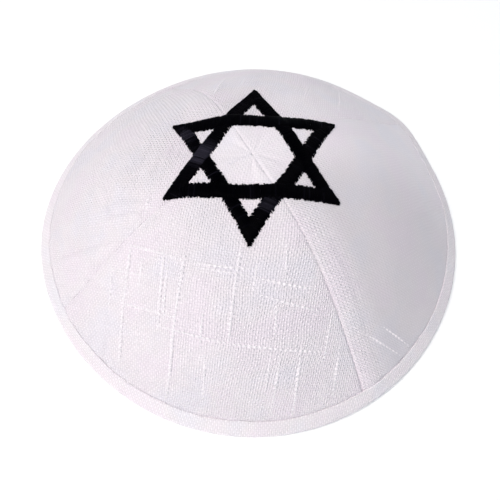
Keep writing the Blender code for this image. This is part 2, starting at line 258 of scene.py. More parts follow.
def relief(panel, across, azimuth, arc, radius, tucked=True):
    """How far the cloth stands out from the plain dome; tucked adds the dip under the tape."""
    span = PANEL_SPAN[panel]
    before = radius * span * across
    after = radius * span * (1 - across)
    edge = np.minimum(before, after)
    seam = np.where(before < after, panel, (panel + 1) % 4)
    # the seams' lines and hollows
    from_middle = smooth(0.001, 0.008, radius)
    deep = SEAM_CREASE[seam] + (SEAM_CREASE_RIM[seam] - SEAM_CREASE[seam]) * smooth(0.020, 0.050, radius)
    out = -CREASE_DEPTH * np.exp(-(edge / CREASE_WIDTH) ** 2) * deep * (0.35 + 0.65 * from_middle)
    out = out - TROUGH_DEPTH * np.exp(-(edge / TROUGH_WIDTH) ** 2) * deep * smooth(0.002, 0.050, radius)
    # the cloth over the turned edges, and the pull of the seams' stitches
    strip = SEAM_STRIP[panel] * (1 - smooth(STRIP_WIDTH - 0.0012, STRIP_WIDTH + 0.0008, before))
    strip = strip + SEAM_STRIP_BEFORE[(panel + 1) % 4] * (1 - smooth(STRIP_WIDTH - 0.0012, STRIP_WIDTH + 0.0008, after))
    out = out + STRIP_LIFT * strip * smooth(0.020, 0.055, radius)
    swell = (before / SWELL_WIDTH) * np.exp(1 - before / SWELL_WIDTH)
    out = out + SWELL_LIFT * SEAM_STRIP[panel] * swell * smooth(0.02, 0.06, radius)
    out = out + 0.00006 * np.sin(TAU * arc / SEAM_STITCH + 1.3 * panel) * np.exp(-edge / 0.0025) * from_middle
    x = radius * np.cos(azimuth)
    y = radius * np.sin(azimuth)
    out = out + 0.00028 * waves(x, y) * smooth(0.004, 0.03, edge) * smooth(0.012, 0.03, radius)
    # the pull of the tape's stitches
    to_tape = length_at(azimuth) - TAPE_WIDTH - arc
    around = azimuth * RIM_RADIUS
    tug = np.sin(TAU * around / TAPE_STITCH) + 0.6 * np.sin(TAU * around / 0.0061 + 1.7)
    out = out + 0.00007 * tug * np.exp(-np.abs(to_tape) / 0.006)
    out = out + fan_folds(x, y)
    # puckers in the star's middle
    puckers = np.sin(9 * azimuth + 1.0) + 0.7 * np.sin(14 * azimuth + 2.2)
    out = out + 0.00009 * puckers * smooth(0.001, 0.004, radius) * (1 - smooth(0.007, 0.014, radius))
    for row in CREASES:
        out = out - crease(azimuth, arc, *row)
    out = out * (1 - smooth(0.0002, 0.0028, -to_tape))
    if tucked:
        out = out - COVERED * pressed(azimuth) * smooth(-0.0014, 0.0002, -to_tape)
        gape = 0.5 + 0.5 * pressed(azimuth) + 1.3 * np.exp(-(wrapped(azimuth - GAPE_AZIMUTH) / GAPE_SPREAD) ** 2)
        out = out - CREVICE * gape * np.exp(-(to_tape / CREVICE_WIDTH) ** 2)
    return out


def skin(azimuth, arc, depth):
    """Points on the cloth at a depth below its outer face."""
    radius, height, slope = section(azimuth, arc)
    panel, across = where(azimuth)
    depth = depth - relief(panel, across, azimuth, arc, radius)
    return place(azimuth, radius - depth * np.sin(slope), height - depth * np.cos(slope))


# ---- the rim's tape, for its middle as in the part's source
TAPE_DEPTH = 2 * TAPE + 2 * CLEARANCE + CLOTH
FOLD_RADIUS = TAPE_DEPTH / 2
FOLD_MIDDLE = FOLD_RADIUS - TAPE_PROUD
FOLD_HEIGHT = math.sqrt(FOLD_RADIUS ** 2 - (FLAT_WIDTH / 2) ** 2)


def fold_arc(azimuth):
    """Where along each meridian the fold's centre lies."""
    low = np.full_like(azimuth, 0.080)  # above the fold on every meridian
    high = length_at(azimuth)
    for _ in range(40):
        mid = (low + high) / 2
        _, height, slope = section(azimuth, mid)
        above = height - FOLD_MIDDLE * np.cos(slope) > FOLD_HEIGHT
        low = np.where(above, mid, low)
        high = np.where(above, high, mid)
    return low


def rim_middle():
    az = np.concatenate([SEAM_AZIMUTH[k] + PANEL_SPAN[k] * np.arange(20) / 20 for k in range(4)])
    fold = fold_arc(az)
    radius, height, slope = section(az, fold)
    centre = np.stack([radius - FOLD_MIDDLE * np.sin(slope), height - FOLD_MIDDLE * np.cos(slope)])
    spots = []
    for turn in np.linspace(0, 1, 5):
        to_floor = (math.acos(-FOLD_HEIGHT / FOLD_RADIUS) - slope) * turn
        out = np.sin(slope + to_floor)
        up = np.cos(slope + to_floor)
        spots.append(place(az, centre[0] + FOLD_RADIUS * out, centre[1] + FOLD_RADIUS * up)[:, :2])
    spots = np.concatenate(spots)
    return (spots.min(0) + spots.max(0)) / 2


MIDDLE = np.append(rim_middle(), 0.0)


# ---- helpers
def unit(rows):
    return rows / np.maximum(np.linalg.norm(rows, axis=1), 1e-9)[:, None]


def add_object(name, data):
    obj = bpy.data.objects.new(name, data)
    bpy.context.scene.collection.objects.link(obj)
    return obj


def new_mesh(name, verts, faces, look, uv=None, layers=None):
    mesh = bpy.data.meshes.new(name)
    mesh.from_pydata([tuple(v) for v in np.asarray(verts) - MIDDLE], [], [tuple(f) for f in faces])
    if uv is not None:
        layer = mesh.uv_layers.new(name="cloth_mm")
        loops = np.empty(len(mesh.loops), dtype=np.int32)
        mesh.loops.foreach_get("vertex_index", loops)
        layer.data.foreach_set("uv", np.asarray(uv, dtype=np.float32)[loops].ravel())
    for label, values in (layers or {}).items():
        attribute = mesh.attributes.new(label, "FLOAT", "POINT")
        attribute.data.foreach_set("value", np.asarray(values, dtype=np.float32))
    mesh.update()
    mesh.shade_smooth()
    mesh.materials.append(look)
    return add_object(name, mesh)


def grid_faces(rows, columns, start=0, flip=False, wrap=False):
    """Quads of a grid of vertices stored row by row."""
    i, j = np.meshgrid(np.arange(rows - 1), np.arange(columns if wrap else columns - 1), indexing="ij")
    i = i.ravel()
    j = j.ravel()
    k = (j + 1) % columns
    quad = np.stack([i * columns + j, (i + 1) * columns + j, (i + 1) * columns + k, i * columns + k], 1) + start
    return quad[:, ::-1] if flip else quad


def flat_uv(panel, azimuth, arc):
    """Millimetres along each panel's own threads; the left panel is cut across the cloth."""
    middle = SEAM_AZIMUTH[panel] + PANEL_SPAN[panel] / 2
    turn = wrapped(azimuth - middle) * KAPPA - GRAIN[panel]
    u = arc * np.sin(turn) / MM + 100.0
    v = arc * np.cos(turn) / MM
    return np.stack([v, u] if PANELS[panel] == "panel_left" else [u, v], -1)


def from_flat(panel, u, v):
    """Azimuth and arc length of a point given in millimetres along a panel's threads."""
    x = np.asarray(u) * MM
    y = np.asarray(v) * MM
    arc = np.hypot(x, y)
    turn = (np.arctan2(x, y) + GRAIN[panel]) / KAPPA
    return SEAM_AZIMUTH[panel] + PANEL_SPAN[panel] / 2 + turn, arc


# ---- materials
def material(name):
    made = bpy.data.materials.new(name)
    made.use_nodes = True
    tree = made.node_tree
    return made, tree, tree.nodes["Principled BSDF"]


def node(tree, kind, **values):
    made = tree.nodes.new(kind)
    for key, value in values.items():
        setattr(made, key, value)
    return made


def set_inputs(made, values):
    for socket, value in values.items():
        made.inputs[socket].default_value = value


def feed(tree, made, values):
    """Set or link a node's inputs in turn, and give its output."""
    for i, value in enumerate(values):
        if isinstance(value, (int, float)):
            made.inputs[i].default_value = value
        else:
            tree.links.new(value, made.inputs[i])
    return made.outputs[0]


def calc(tree, operation, *values):
    return feed(tree, node(tree, "ShaderNodeMath", operation=operation), values)


def join(tree, x, y, z=0.0):
    return feed(tree, node(tree, "ShaderNodeCombineXYZ"), (x, y, z))


def ramp(tree, fac, stops):
    made = node(tree, "ShaderNodeValToRGB")
    made.color_ramp.elements[0].position = stops[0][0]
    made.color_ramp.elements[0].color = (*stops[0][1], 1)
    made.color_ramp.elements[1].position = stops[-1][0]
    made.color_ramp.elements[1].color = (*stops[-1][1], 1)
    for position, colour in stops[1:-1]:
        made.color_ramp.elements.new(position).color = (*colour, 1)
    tree.links.new(fac, made.inputs[0])
    return made.outputs[0]


def noise(tree, vector, scale, detail):
    made = node(tree, "ShaderNodeTexNoise", noise_dimensions="3D")
    set_inputs(made, {"Scale": scale, "Detail": detail})
    tree.links.new(vector, made.inputs["Vector"])
    return made.outputs["Fac"]


WEFT_LOWER = 0.50  # how high the crosswise threads stand beside the lengthwise ones
DRIFT = 2.4  # how far, in mm, the threads run from their straight way, slowly
WANDER = 0.38  # and over a few threads
FUZZ = 0.18  # how rough the threads are, as a share of their height
WEAVE_HEIGHT = 0.00032
# soft pink and blue blotches
TINTS = ((0.36, (1.0, 0.956, 0.992)), (0.50, (0.998, 0.976, 0.987)), (0.64, (0.973, 0.966, 0.999)))


def linen(name, pitch_u, pitch_v, light, gap_shade, bump, slub):
    """An uneven plain weave: two sets of threads, each over and under the other in turn, with thicker slubs."""
    made, tree, shader = material(name)
    link = tree.links.new
    split = node(tree, "ShaderNodeSeparateXYZ")
    link(node(tree, "ShaderNodeUVMap", uv_map="cloth_mm").outputs[0], split.inputs[0])
    x, y = split.outputs[0], split.outputs[1]

    def op(operation, *values):
        return calc(tree, operation, *values)

    def times(a, b):
        return op("MULTIPLY", a, b)

    def cells(z, scale, detail):
        return noise(tree, join(tree, x, y, z), scale, detail)

    def threads(way, pitch, slow_seed, slow_scale, quick_seed, quick_scale):
        """A coordinate counted in threads, with their drift."""
        slow = cells(slow_seed, slow_scale, 2.0)
        quick = cells(quick_seed, quick_scale, 1.0)
        drift = op("ADD", times(slow, DRIFT), times(quick, WANDER))
        return op("DIVIDE", op("ADD", way, drift), pitch)

    def swell(fat):
        return op("MULTIPLY_ADD", op("SUBTRACT", fat, 0.5), 2.0 * slub, 1.0)

    u = threads(x, pitch_u, 3.1, 0.055, 5.3, 0.22)
    v = threads(y, pitch_v, 9.7, 0.050, 7.9, 0.26)
    a = op("SINE", times(u, math.pi))
    b = op("SINE", times(v, math.pi))
    # each thread has a random thickness of its own, which changes slowly along it
    fat_u = noise(tree, join(tree, times(op("FLOOR", u), 7.31), times(v, 0.045)), 1.0, 1.0)
    fat_v = noise(tree, join(tree, times(u, 0.045), times(op("FLOOR", v), 5.17), 4.0), 1.0, 1.0)
    over_u = op("MULTIPLY_ADD", times(op("SIGN", a), b), 0.5, 0.5)
    over_v = op("MULTIPLY_ADD", times(op("SIGN", b), a), -0.5, 0.5)
    round_u = op("POWER", op("ABSOLUTE", a), 0.8)
    round_v = op("ABSOLUTE", b)
    warp = times(times(round_u, over_u), swell(fat_u))
    weft = times(times(round_v, over_v), times(swell(fat_v), WEFT_LOWER))
    height = op("ADD", op("SMOOTH_MAX", warp, weft, 0.15), times(cells(0.5, 3.2, 3.0), FUZZ))
    # colour: painted shade in the gaps and painted light on the threads' tops, flatter where the weave is pressed,
    # tinted, and scaled by the painted light and shade
    between = tuple(0.45 * g + 0.55 * l for g, l in zip(gap_shade, light))
    colour = ramp(tree, height, ((0.12, gap_shade), (0.52, between), (0.95, tuple(1.045 * l for l in light))))
    depth = node(tree, "ShaderNodeAttribute", attribute_name="weave_depth").outputs["Fac"]
    flat = node(tree, "ShaderNodeMix", data_type="RGBA")
    flat.inputs["A"].default_value = (*(0.955 * c for c in light), 1)
    link(depth, flat.inputs["Factor"])
    link(colour, flat.inputs["B"])
    tinted = node(tree, "ShaderNodeMix", data_type="RGBA", blend_type="MULTIPLY")
    tinted.inputs["Factor"].default_value = 1.0
    link(flat.outputs["Result"], tinted.inputs["A"])
    link(ramp(tree, cells(1.5, 0.06, 2.0), TINTS), tinted.inputs["B"])
    # scale the colour by the painted light and shade that each mesh carries
    painted_shading = node(tree, "ShaderNodeVectorMath", operation="SCALE")
    link(tinted.outputs["Result"], painted_shading.inputs[0])
    link(node(tree, "ShaderNodeAttribute", attribute_name="painted_light_and_shade").outputs["Fac"], painted_shading.inputs["Scale"])
    link(painted_shading.outputs[0], shader.inputs["Base Color"])
    link(op("MULTIPLY_ADD", height, -0.12, 0.86), shader.inputs["Roughness"])
    set_inputs(shader, {"Sheen Weight": 0.25, "Sheen Roughness": 0.5, "Specular IOR Level": 0.25})
    bumped = node(tree, "ShaderNodeBump")
    bumped.inputs["Distance"].default_value = WEAVE_HEIGHT
    link(times(depth, bump), bumped.inputs["Strength"])
    link(height, bumped.inputs["Height"])
    link(bumped.outputs[0], shader.inputs["Normal"])
    return made


# the cloth's colour, and the darker colour of the weave's gaps, which is painted shade
WHITE = (0.897, 0.853, 0.888)
GAP_PAINTED_SHADE = (0.75, 0.702, 0.742)
TAPE_WHITE = (0.905, 0.866, 0.892)
TAPE_GAP_PAINTED_SHADE = (0.79, 0.748, 0.778)
THREAD_PITCH = {"across": 0.76, "down": 0.85}  # mm from thread to thread, across and down a gore
cloth = linen("white_linen", THREAD_PITCH["across"], THREAD_PITCH["down"], WHITE, GAP_PAINTED_SHADE, bump=1.0, slub=0.6)
tape_cloth = linen("white_linen_tape", 0.72, 0.80, TAPE_WHITE, TAPE_GAP_PAINTED_SHADE, bump=0.75, slub=0.6)


def fibres(tree, scale):
    return noise(tree, node(tree, "ShaderNodeTexCoord").outputs["Object"], scale, 2.0)


def yarn_material(name, colour, roughness, sheen):
    made, tree, shader = material(name)
    grain = fibres(tree, 2600.0)
    shade = ramp(tree, grain, ((0.3, tuple(c * 0.86 for c in colour)), (0.7, colour)))
    tree.links.new(shade, shader.inputs["Base Color"])
    set_inputs(shader, {"Roughness": roughness, "Sheen Weight": sheen, "Specular IOR Level": 0.35})
    bumped = node(tree, "ShaderNodeBump")
    set_inputs(bumped, {"Strength": 0.3, "Distance": 0.0001})
    tree.links.new(grain, bumped.inputs["Height"])
    tree.links.new(bumped.outputs[0], shader.inputs["Normal"])
    return made


slub_yarn = yarn_material("slub_yarn", (0.912, 0.856, 0.900), 0.8, 0.1)
sewing_thread = yarn_material("sewing_thread", (0.88, 0.86, 0.88), 0.6, 0.1)

# black with a blue cast; the lightest stop is a painted sheen where the satin catches the light
SATIN_WITH_PAINTED_SHEEN = ((0.0, (0.0002, 0.0001, 0.0006)), (0.4, (0.0007, 0.0005, 0.0016)), (1.0, (0.034, 0.031, 0.047)))


def satin_thread(name):
    made, tree, shader = material(name)
    shade = node(tree, "ShaderNodeAttribute", attribute_name="stitch_tone_and_painted_sheen")
    tree.links.new(ramp(tree, shade.outputs["Fac"], SATIN_WITH_PAINTED_SHEEN), shader.inputs["Base Color"])
    tree.links.new(calc(tree, "MULTIPLY_ADD", fibres(tree, 3000.0), 0.2, 0.24), shader.inputs["Roughness"])
    shader.inputs["Specular IOR Level"].default_value = 0.015
    return made


black_thread = satin_thread("black_satin_thread")


# ---- the four gores
def weave_layers(k, across, radius):
    """How deep the weave shows, pressed flat at the crown and on the right; and the painted shade on the right panel,
    with painted light at the crown and where the weave is deeper.
    """
    name = PANELS[k]
    crown = 1 - smooth(0.010, 0.024, radius)
    below_crown = smooth(0.014, 0.028, radius)
    side, deeper, shade = 0 * radius, 0.0, 0.0
    if name == "panel_right":
        side = smooth(0.002, 0.016, radius * PANEL_SPAN[k] * across) * smooth(0.014, 0.032, radius)
        shade = 0.200 - 0.170 * smooth(0.45, 0.85, across)
    elif name == "panel_back":
        side = 0.45 * smooth(0.014, 0.032, radius)
        deeper = 0.50 * across * below_crown
    elif name == "panel_left":
        deeper = 0.22 * (1 - smooth(0.70, 0.98, across)) * below_crown
    depth = 1 - 0.60 * side - 0.45 * crown + deeper
    # painted shade on the right panel, darkest in its half nearest the front right seam, and painted light at the crown
    # and where the weave is deeper
    tone_and_painted_light = 1 - shade * side + 0.01 * crown + 0.03 * np.maximum(depth - 1, 0)
    return {"weave_depth": depth.ravel(), "painted_light_and_shade": tone_and_painted_light.ravel()}


COLUMNS = 121
UPPER_ROWS = 96
FIRST_ARC = 0.00015
CUT_EDGE = 0.0030  # how far below the tape's edge the cloth ends
LOWER_SPAN = 0.010
# rows of the last 10 mm, closer where the cloth goes under the tape (the tape's edge is at 7 mm)
LOWER_ROWS = (0.5, 1.0, 1.5, 2.0, 2.5, 3.0, 3.5, 4.0, 4.5, 5.0, 5.4, 5.8, 6.1, 6.35, 6.55, 6.75, 6.9, 7.05, 7.2,
              7.4, 7.7, 8.3, 9.2, 10.0)


def make_gore(k):
    s = np.linspace(0, 1, COLUMNS)
    across = s - 0.72 * np.sin(TAU * s) / TAU  # columns lie closer near the seams
    azimuth = SEAM_AZIMUTH[k] + PANEL_SPAN[k] * across
    upper_end = (length_at(azimuth) - TAPE_WIDTH + CUT_EDGE - LOWER_SPAN)[None]
    arc = np.concatenate([upper_end * (np.linspace(0.0, 1, UPPER_ROWS)[:, None] ** 0.94),
                          upper_end + MM * np.array(LOWER_ROWS)[:, None]])
    arc[0] = FIRST_ARC
    rows = len(arc)
    az = np.broadcast_to(azimuth, arc.shape)
    panel = np.full(arc.shape, k)
    part = np.broadcast_to(across, arc.shape)
    radius, height, slope = section(az, arc)
    lift = relief(panel, part, az, arc, radius)
    verts = []
    for depth in (0.0, THICK):
        points = place(az, radius - (depth - lift) * np.sin(slope), height - (depth - lift) * np.cos(slope))
        verts.append(points.reshape(-1, 3))
    uv = flat_uv(k, az, arc).reshape(-1, 2)
    count = rows * COLUMNS
    ring = np.concatenate([np.arange(COLUMNS), np.arange(1, rows) * COLUMNS + COLUMNS - 1,
                           (rows - 1) * COLUMNS + np.arange(COLUMNS - 2, -1, -1), np.arange(rows - 2, 0, -1) * COLUMNS])
    following = np.roll(ring, -1)
    faces = np.concatenate([grid_faces(rows, COLUMNS), grid_faces(rows, COLUMNS, start=count, flip=True),
                            np.stack([ring, following, following + count, ring + count], 1)])
    layers = {label: np.concatenate([values, values]) for label, values in weave_layers(k, part, radius).items()}
    return new_mesh(PANELS[k] + "_cloth", np.concatenate(verts), faces, cloth, uv=np.concatenate([uv, uv]),
                    layers=layers)


gores = [make_gore(k) for k in range(4)]


# ---- slub yarns: thick places of single threads
# for each panel and way of the thread: offset in mm at the start and at the end, start and end in mm, weight
SLUB_ROWS = {
    ("panel_front", "down"): (
        (-33.7, -34.7, 39, 81, 1.25), (-28.5, -28.6, 42, 56, 0.6), (-29, -28.2, 58, 73, 0.5),
        (-21.1, -20.3, 39, 66, 1.1), (-19.4, -18.8, 41, 62, 0.8), (-14.5, -15.9, 39, 91, 1.35),
        (0.9, 1.2, 32, 66, 1.1), (13, 14.4, 31, 44, 0.6), (13, 14, 49, 61, 0.6),
        (-41.1, -40.4, 48, 66, 0.8), (13.7, 14.8, 63, 80, 0.7), (22.7, 24.8, 63, 87, 1),
        (35.6, 36.7, 63, 80, 0.9), (5.8, 6.1, 36, 50, 0.55), (16.8, 17.9, 66, 87, 0.55),
        (-6.8, -6.7, 54, 68, 0.4), (-4.7, -3.9, 68, 86, 0.55), (30.4, 30.9, 51, 68, 0.75),
        (-50.4, -49.4, 62, 75, 0.55),
    ),
    ("panel_front", "across"): (
        (59.2, 59.4, -36, -13, 0.5), (47.6, 52.4, 6, 27, 0.45), (40, 41.2, -34, -12, 1),
        (41.2, 40.4, -12, 6, 1), (49.5, 48.6, -43, -24, 0.8), (42.3, 42.6, -10, 6, 0.8),
        (42.6, 46.2, 5, 27, 0.9), (63.3, 64.2, -22, 2, 1), (64.2, 65.2, 2, 30, 0.9),
        (42.8, 42.4, -27, -18, 0.7),
    ),
    ("panel_back", "down"): (
        (18.4, 19.6, 27, 58, 0.4), (10.6, 10.5, 36, 48, 0.3), (-10.9, -11.2, 32, 49.5, 0.3),
        (-23.3, -25.6, 31, 78, 0.2),
    ),
    ("panel_left", "across"): ((33, 34, 17, 27, 0.7),),
    ("panel_left", "down"): ((22.8, 22.9, 29, 38, 0.7),),
    ("panel_right", "down"): ((-43.7, -45.4, 58, 80, 0.45), (-39.2, -41.3, 65, 81, 0.45)),
}
SLUB_MARGIN = 0.0008  # how far a slub keeps from the seams and the tape
SLUB_SIDES = 7


def thread_line(k, way, offset, offset_end, start, end):
    t = np.arange(start, end, 0.20)
    wander = offset + (offset_end - offset) * (t - start) / (end - start) + 0.10 * np.sin(t * 0.21 + offset)
    u, v = (wander, t) if way == "down" else (t, wander)
    return t, *from_flat(k, u, v)


def make_slubs(k):
    verts = []
    faces = []
    rows = [(way, *row) for (name, way), group in SLUB_ROWS.items() if name == PANELS[k] for row in group]
    for way, offset, offset_end, start, end, weight in rows:
        t, azimuth, arc = thread_line(k, way, offset, offset_end, start, end)
        middle = SEAM_AZIMUTH[k] + PANEL_SPAN[k] / 2
        radius, _, _ = section(azimuth, arc)
        inside = np.abs(wrapped(azimuth - middle)) * radius < PANEL_SPAN[k] / 2 * radius - SLUB_MARGIN
        inside &= (arc < length_at(azimuth) - TAPE_WIDTH - SLUB_MARGIN) & (arc > 0.006)
        first = int(np.argmax(inside))
        stop = first + int(np.argmin(np.append(inside[first:], False)))
        t, azimuth, arc = t[first:stop], azimuth[first:stop], arc[first:stop]
        if len(t) < 8:
            continue
        # thinner at both ends, and pinched where other threads cross it
        taper = np.clip(np.minimum(t - t[0], t[-1] - t) / 6.0, 0, 1) ** 0.6
        swell = 0.85 + 0.15 * np.sin(t * 0.23 + offset)
        wave = np.sin(math.pi * t / THREAD_PITCH[way] + offset)
        half = (0.00049 + 0.00013 * wave) * (0.5 + 0.5 * weight) * (0.35 + 0.65 * taper) * swell
        top = -0.00002 + 0.00013 * wave * (0.6 + 0.4 * weight) - 0.00014 * (1 - taper)
        centre = skin(azimuth, arc, 0.0)
        up = unit(skin(azimuth, arc, -0.001) - centre)
        side = np.cross(unit(np.gradient(centre, axis=0)), up)
        start_index = sum(len(x) for x in verts)
        ring = []
        for angle in np.linspace(-0.5, math.pi + 0.5, SLUB_SIDES):
            ring.append(centre + side * (half * math.cos(angle))[:, None]
                        + up * (top + half * 0.62 * math.sin(angle))[:, None])
        verts.append(np.stack(ring, 1).reshape(-1, 3))
        faces.append(grid_faces(len(t), SLUB_SIDES, start=start_index))
    return new_mesh(PANELS[k] + "_slubs", np.concatenate(verts), np.concatenate(faces), slub_yarn)


slub_objects = [make_slubs(k) for k in range(4)]


# ---- the folded tape round the rim
TAPE_SECTIONS = 720
EDGE_WIDTH = 0.00065  # the rounded edge of the outer leg
# share of that width, and how far the edge has come up there
EDGE_RISE = ((0.02, -0.75), (0.06, 0.0), (0.14, 0.35), (0.28, 0.62), (0.46, 0.82), (0.70, 0.95), (1.0, 1.0))
OUTER_SHARES = (0.08, 0.18, 0.30, 0.42, 0.55, 0.68, 0.80, 0.91)
INNER_SHARES = (0.90, 0.75, 0.60, 0.45, 0.30, 0.16, 0.06)
INNER_LOWER = 0.0004  # how far below the outer leg's edge the inner leg ends
INNER_DEPTH = COVERED + THICK + 0.0007
TURNED_EDGE = 0.0006  # how round the inner leg's edge is
# painted light and shade on the tape, lighter and darker by azimuth: amount, azimuth in degrees and how narrow
TAPE_PAINTED_LIGHT_AND_SHADE = ((-0.075, -10, 1), (0.025, -85, 2), (-0.035, 190, 2))


def make_tape():
    az = np.arange(TAPE_SECTIONS) * TAU / TAPE_SECTIONS
    top = length_at(az) - TAPE_WIDTH
    fold = fold_arc(az)
    radius, height, slope = section(az, fold)
    centre_r = radius - FOLD_MIDDLE * np.sin(slope)
    centre_h = height - FOLD_MIDDLE * np.cos(slope)
    around = az * RIM_RADIUS
    turns = TAU * around
    wobble = (0.00004 * np.sin(turns / TAPE_STITCH) + 0.00004 * np.sin(turns / 0.0057 + 1.0)
              + 0.00010 * np.sin(turns / 0.031))
    puff = 1 + 0.8 * np.sin(turns / TAPE_STITCH + 2.0) * np.sin(turns / 0.041)
    ring = []

    # the tape rides over the cloth's own relief, smoothed along the rim
    follow = 0
    for step in (-0.0014, -0.0007, 0.0, 0.0007, 0.0014):
        near = az + step / RIM_RADIUS
        panel, across = where(near)
        at = length_at(near) - TAPE_WIDTH
        follow = follow + relief(panel, across, near, at, section(near, at)[0], tucked=False) / 5

    def leg(depth, arc):
        r, h, s = section(az, arc)
        depth = depth - follow * (1 - smooth(0.0, 1.0, (arc - top) / (fold - top)))
        ring.append(place(az, r - depth * np.sin(s), np.maximum(h - depth * np.cos(s), 0.0)))

    def bend(turn):
        out = np.sin(slope + turn)
        up = np.cos(slope + turn)
        ring.append(place(az, centre_r + FOLD_RADIUS * out, np.maximum(centre_h + FOLD_RADIUS * up, 0.0)))

    proud = TAPE_TOP * pressed(az)
    sunk = COVERED * pressed(az)
    # the tucked edge that sits on the cloth, outer leg, fold, inner leg and the inner tucked edge
    leg(sunk + 0.00006, top + 0.0014 + wobble)
    leg(sunk + 0.00026, top + 0.00012 + wobble)
    for share, rise in EDGE_RISE:
        leg(sunk - (sunk + proud) * rise, top + EDGE_WIDTH * share + wobble)
    for share in OUTER_SHARES:
        settle = proud + (TAPE_PROUD - proud) * share ** 2
        leg(-settle - 0.00006 * math.sin(math.pi * share) * puff, top + EDGE_WIDTH + (fold - top - EDGE_WIDTH) * share)
    for turn in np.linspace(0.0, 1.0, 15):
        bend(turn * (math.pi - 0.25))
    for share in INNER_SHARES:
        depth = INNER_DEPTH + (TAPE_DEPTH - TAPE_PROUD - INNER_DEPTH) * float(smooth(0.0, 0.95, share))
        leg(depth, top + INNER_LOWER + (fold - top) * share - wobble)
    for turn in np.linspace(1.0, 0.1, 4):
        rise = math.sin(turn * math.pi / 2)
        leg(INNER_DEPTH - TURNED_EDGE + TURNED_EDGE * rise, top + INNER_LOWER * (1 - rise) - wobble)
    leg(COVERED + THICK - 0.0002, top + 0.0008 - wobble)
    ring = np.stack(ring)  # section point, azimuth, xyz
    steps = np.concatenate([[0], np.cumsum(np.linalg.norm(np.diff(ring[:, 0], axis=0), axis=1))]) / MM
    # one more column so that the weave's coordinates don't jump where the ring closes
    closed = np.concatenate([ring, ring[:, :1]], 1)
    points, count = closed.shape[:2]
    # the last strip of faces joins both tucked edges, so that the tape's thickness is closed
    verts = np.concatenate([closed.reshape(-1, 3), closed[-1], closed[0]])
    faces = np.concatenate([grid_faces(points, count, flip=True),
                            grid_faces(2, count, start=points * count, flip=True)])
    u = np.append(around, TAU * RIM_RADIUS) / MM
    v = np.append(steps, [steps[-1], steps[-1] + 3])
    uv = np.stack(np.broadcast_arrays(u[None], v[:, None]), -1).reshape(-1, 2)
    way = np.arctan2(verts[:, 1], verts[:, 0])
    # painted light and shade: the tape lighter overall and in front, darker on the right and on the left
    tone_and_painted_light = 1.015
    for amount, azimuth, power in TAPE_PAINTED_LIGHT_AND_SHADE:
        tone_and_painted_light = tone_and_painted_light + amount * np.maximum(0, np.cos(way - math.radians(azimuth))) ** power
    return new_mesh("rim_tape", verts, faces, tape_cloth, uv=uv,
                    layers={"weave_depth": np.ones(len(verts)), "painted_light_and_shade": tone_and_painted_light})


tape = make_tape()


# ---- tubes along points, for stitches
def tubes(name, threads, squash, look, sides=5):
    """Closed threads: each is given by its points, which way is up at each, its radius, and its tone with any painted
    sheen.
    """
    verts = []
    faces = []
    tones_and_painted_sheen = []
    start = 0
    angles = np.arange(sides) * TAU / sides + 0.3
    for path, up, radius, tone_and_painted_light in threads:
        ahead = unit(np.gradient(path, axis=0))
        side = unit(np.cross(ahead, up))
        over = np.cross(side, ahead)
        ring = (path[:, None] + side[:, None] * (radius * np.cos(angles))[:, None]
                + over[:, None] * (radius * squash * np.sin(angles))[:, None])
        verts.append(ring.reshape(-1, 3))
        faces.append(grid_faces(len(path), sides, start=start, wrap=True, flip=True))
        tones_and_painted_sheen.append(np.full(len(path) * sides, tone_and_painted_light))
        start += len(path) * sides
    return new_mesh(name, np.concatenate(verts), np.concatenate(faces), look,
                    layers={"stitch_tone_and_painted_sheen": np.concatenate(tones_and_painted_sheen)})


def thread(azimuth, arc, depth, radius, tone_and_painted_light, up=0.001):
    """One thread at a depth below the cloth's face, as tubes takes it; up is the way that it bulges."""
    points = skin(azimuth, arc, depth)
    return points, skin(azimuth, arc, depth + up) - points, radius, tone_and_painted_light


def star_place(x, y):
    """Azimuth and arc of a place in the star's plane; distances from its middle run along the cloth."""
    distance = np.hypot(x, y)
    wanted = np.arctan2(y, x) + math.radians(STAR_TURN)
    azimuth = wanted.copy()
    for _ in range(3):
        radius, _, _ = section(azimuth, distance)
        azimuth = wanted - bow(azimuth, radius / RIM_RADIUS)
    return azimuth, distance


# ---- the star in satin stitch
STAR_OUT = STAR_RADIUS / 2
STAR_IN = STAR_OUT - STAR_BAR
HALF_BAR = STAR_RADIUS * math.cos(math.radians(30))
# how far each bar's outer and inner edge is pulled outward, in mm, at five places from its start to its end
BAR_PLACES = (-1.0, -0.5, 0.0, 0.5, 1.0)
OUTER_PULL = (
    (-0.6, -0.04, 0.15, 0.41, 0.45),
    (-1.2, -0.1, 1.0, -0.25, -1.2),
    (-0.5, 0.0, 0.8, 0.2, -0.3),
    (0.3, -0.05, 0.4, -0.35, -0.2),
    (0.05, 0.15, 0.3, 0.6, 0.85),
    (-0.6, -0.25, 1.1, 1.05, 0.95),
)
INNER_PULL = (
    (-0.45, -0.04, 0.45, 0.41, 0.45),
    (-1.4, -0.7, 0.6, -0.5, -1.4),
    (-0.35, 0.1, 0.45, -0.3, -0.4),
    (0.2, 0.59, 0.75, 0.19, -0.3),
    (0.0, -0.05, -0.1, 0.1, 0.5),
    (-1.0, -0.5, 0.6, 0.92, 0.75),
)
STITCH_PITCH = 0.00036
STITCH_RADIUS = 0.00024
# a stitch's points from its inner to its outer end, and their height over its bed
STITCH_SHARES = np.array([0.0, 0.05, 0.16, 0.38, 0.62, 0.84, 0.95, 1.0])
STITCH_CROWN = np.array([-0.00028, 0.00002, 0.00020, 0.00027, 0.00027, 0.00020, 0.00002, -0.00028])
STITCH_END = -0.0002
BED, OVER_LIFT, UNDER_DIP = 0.00034, 0.00026, -0.00012  # a bar's bed above the cloth, and its change at crossings
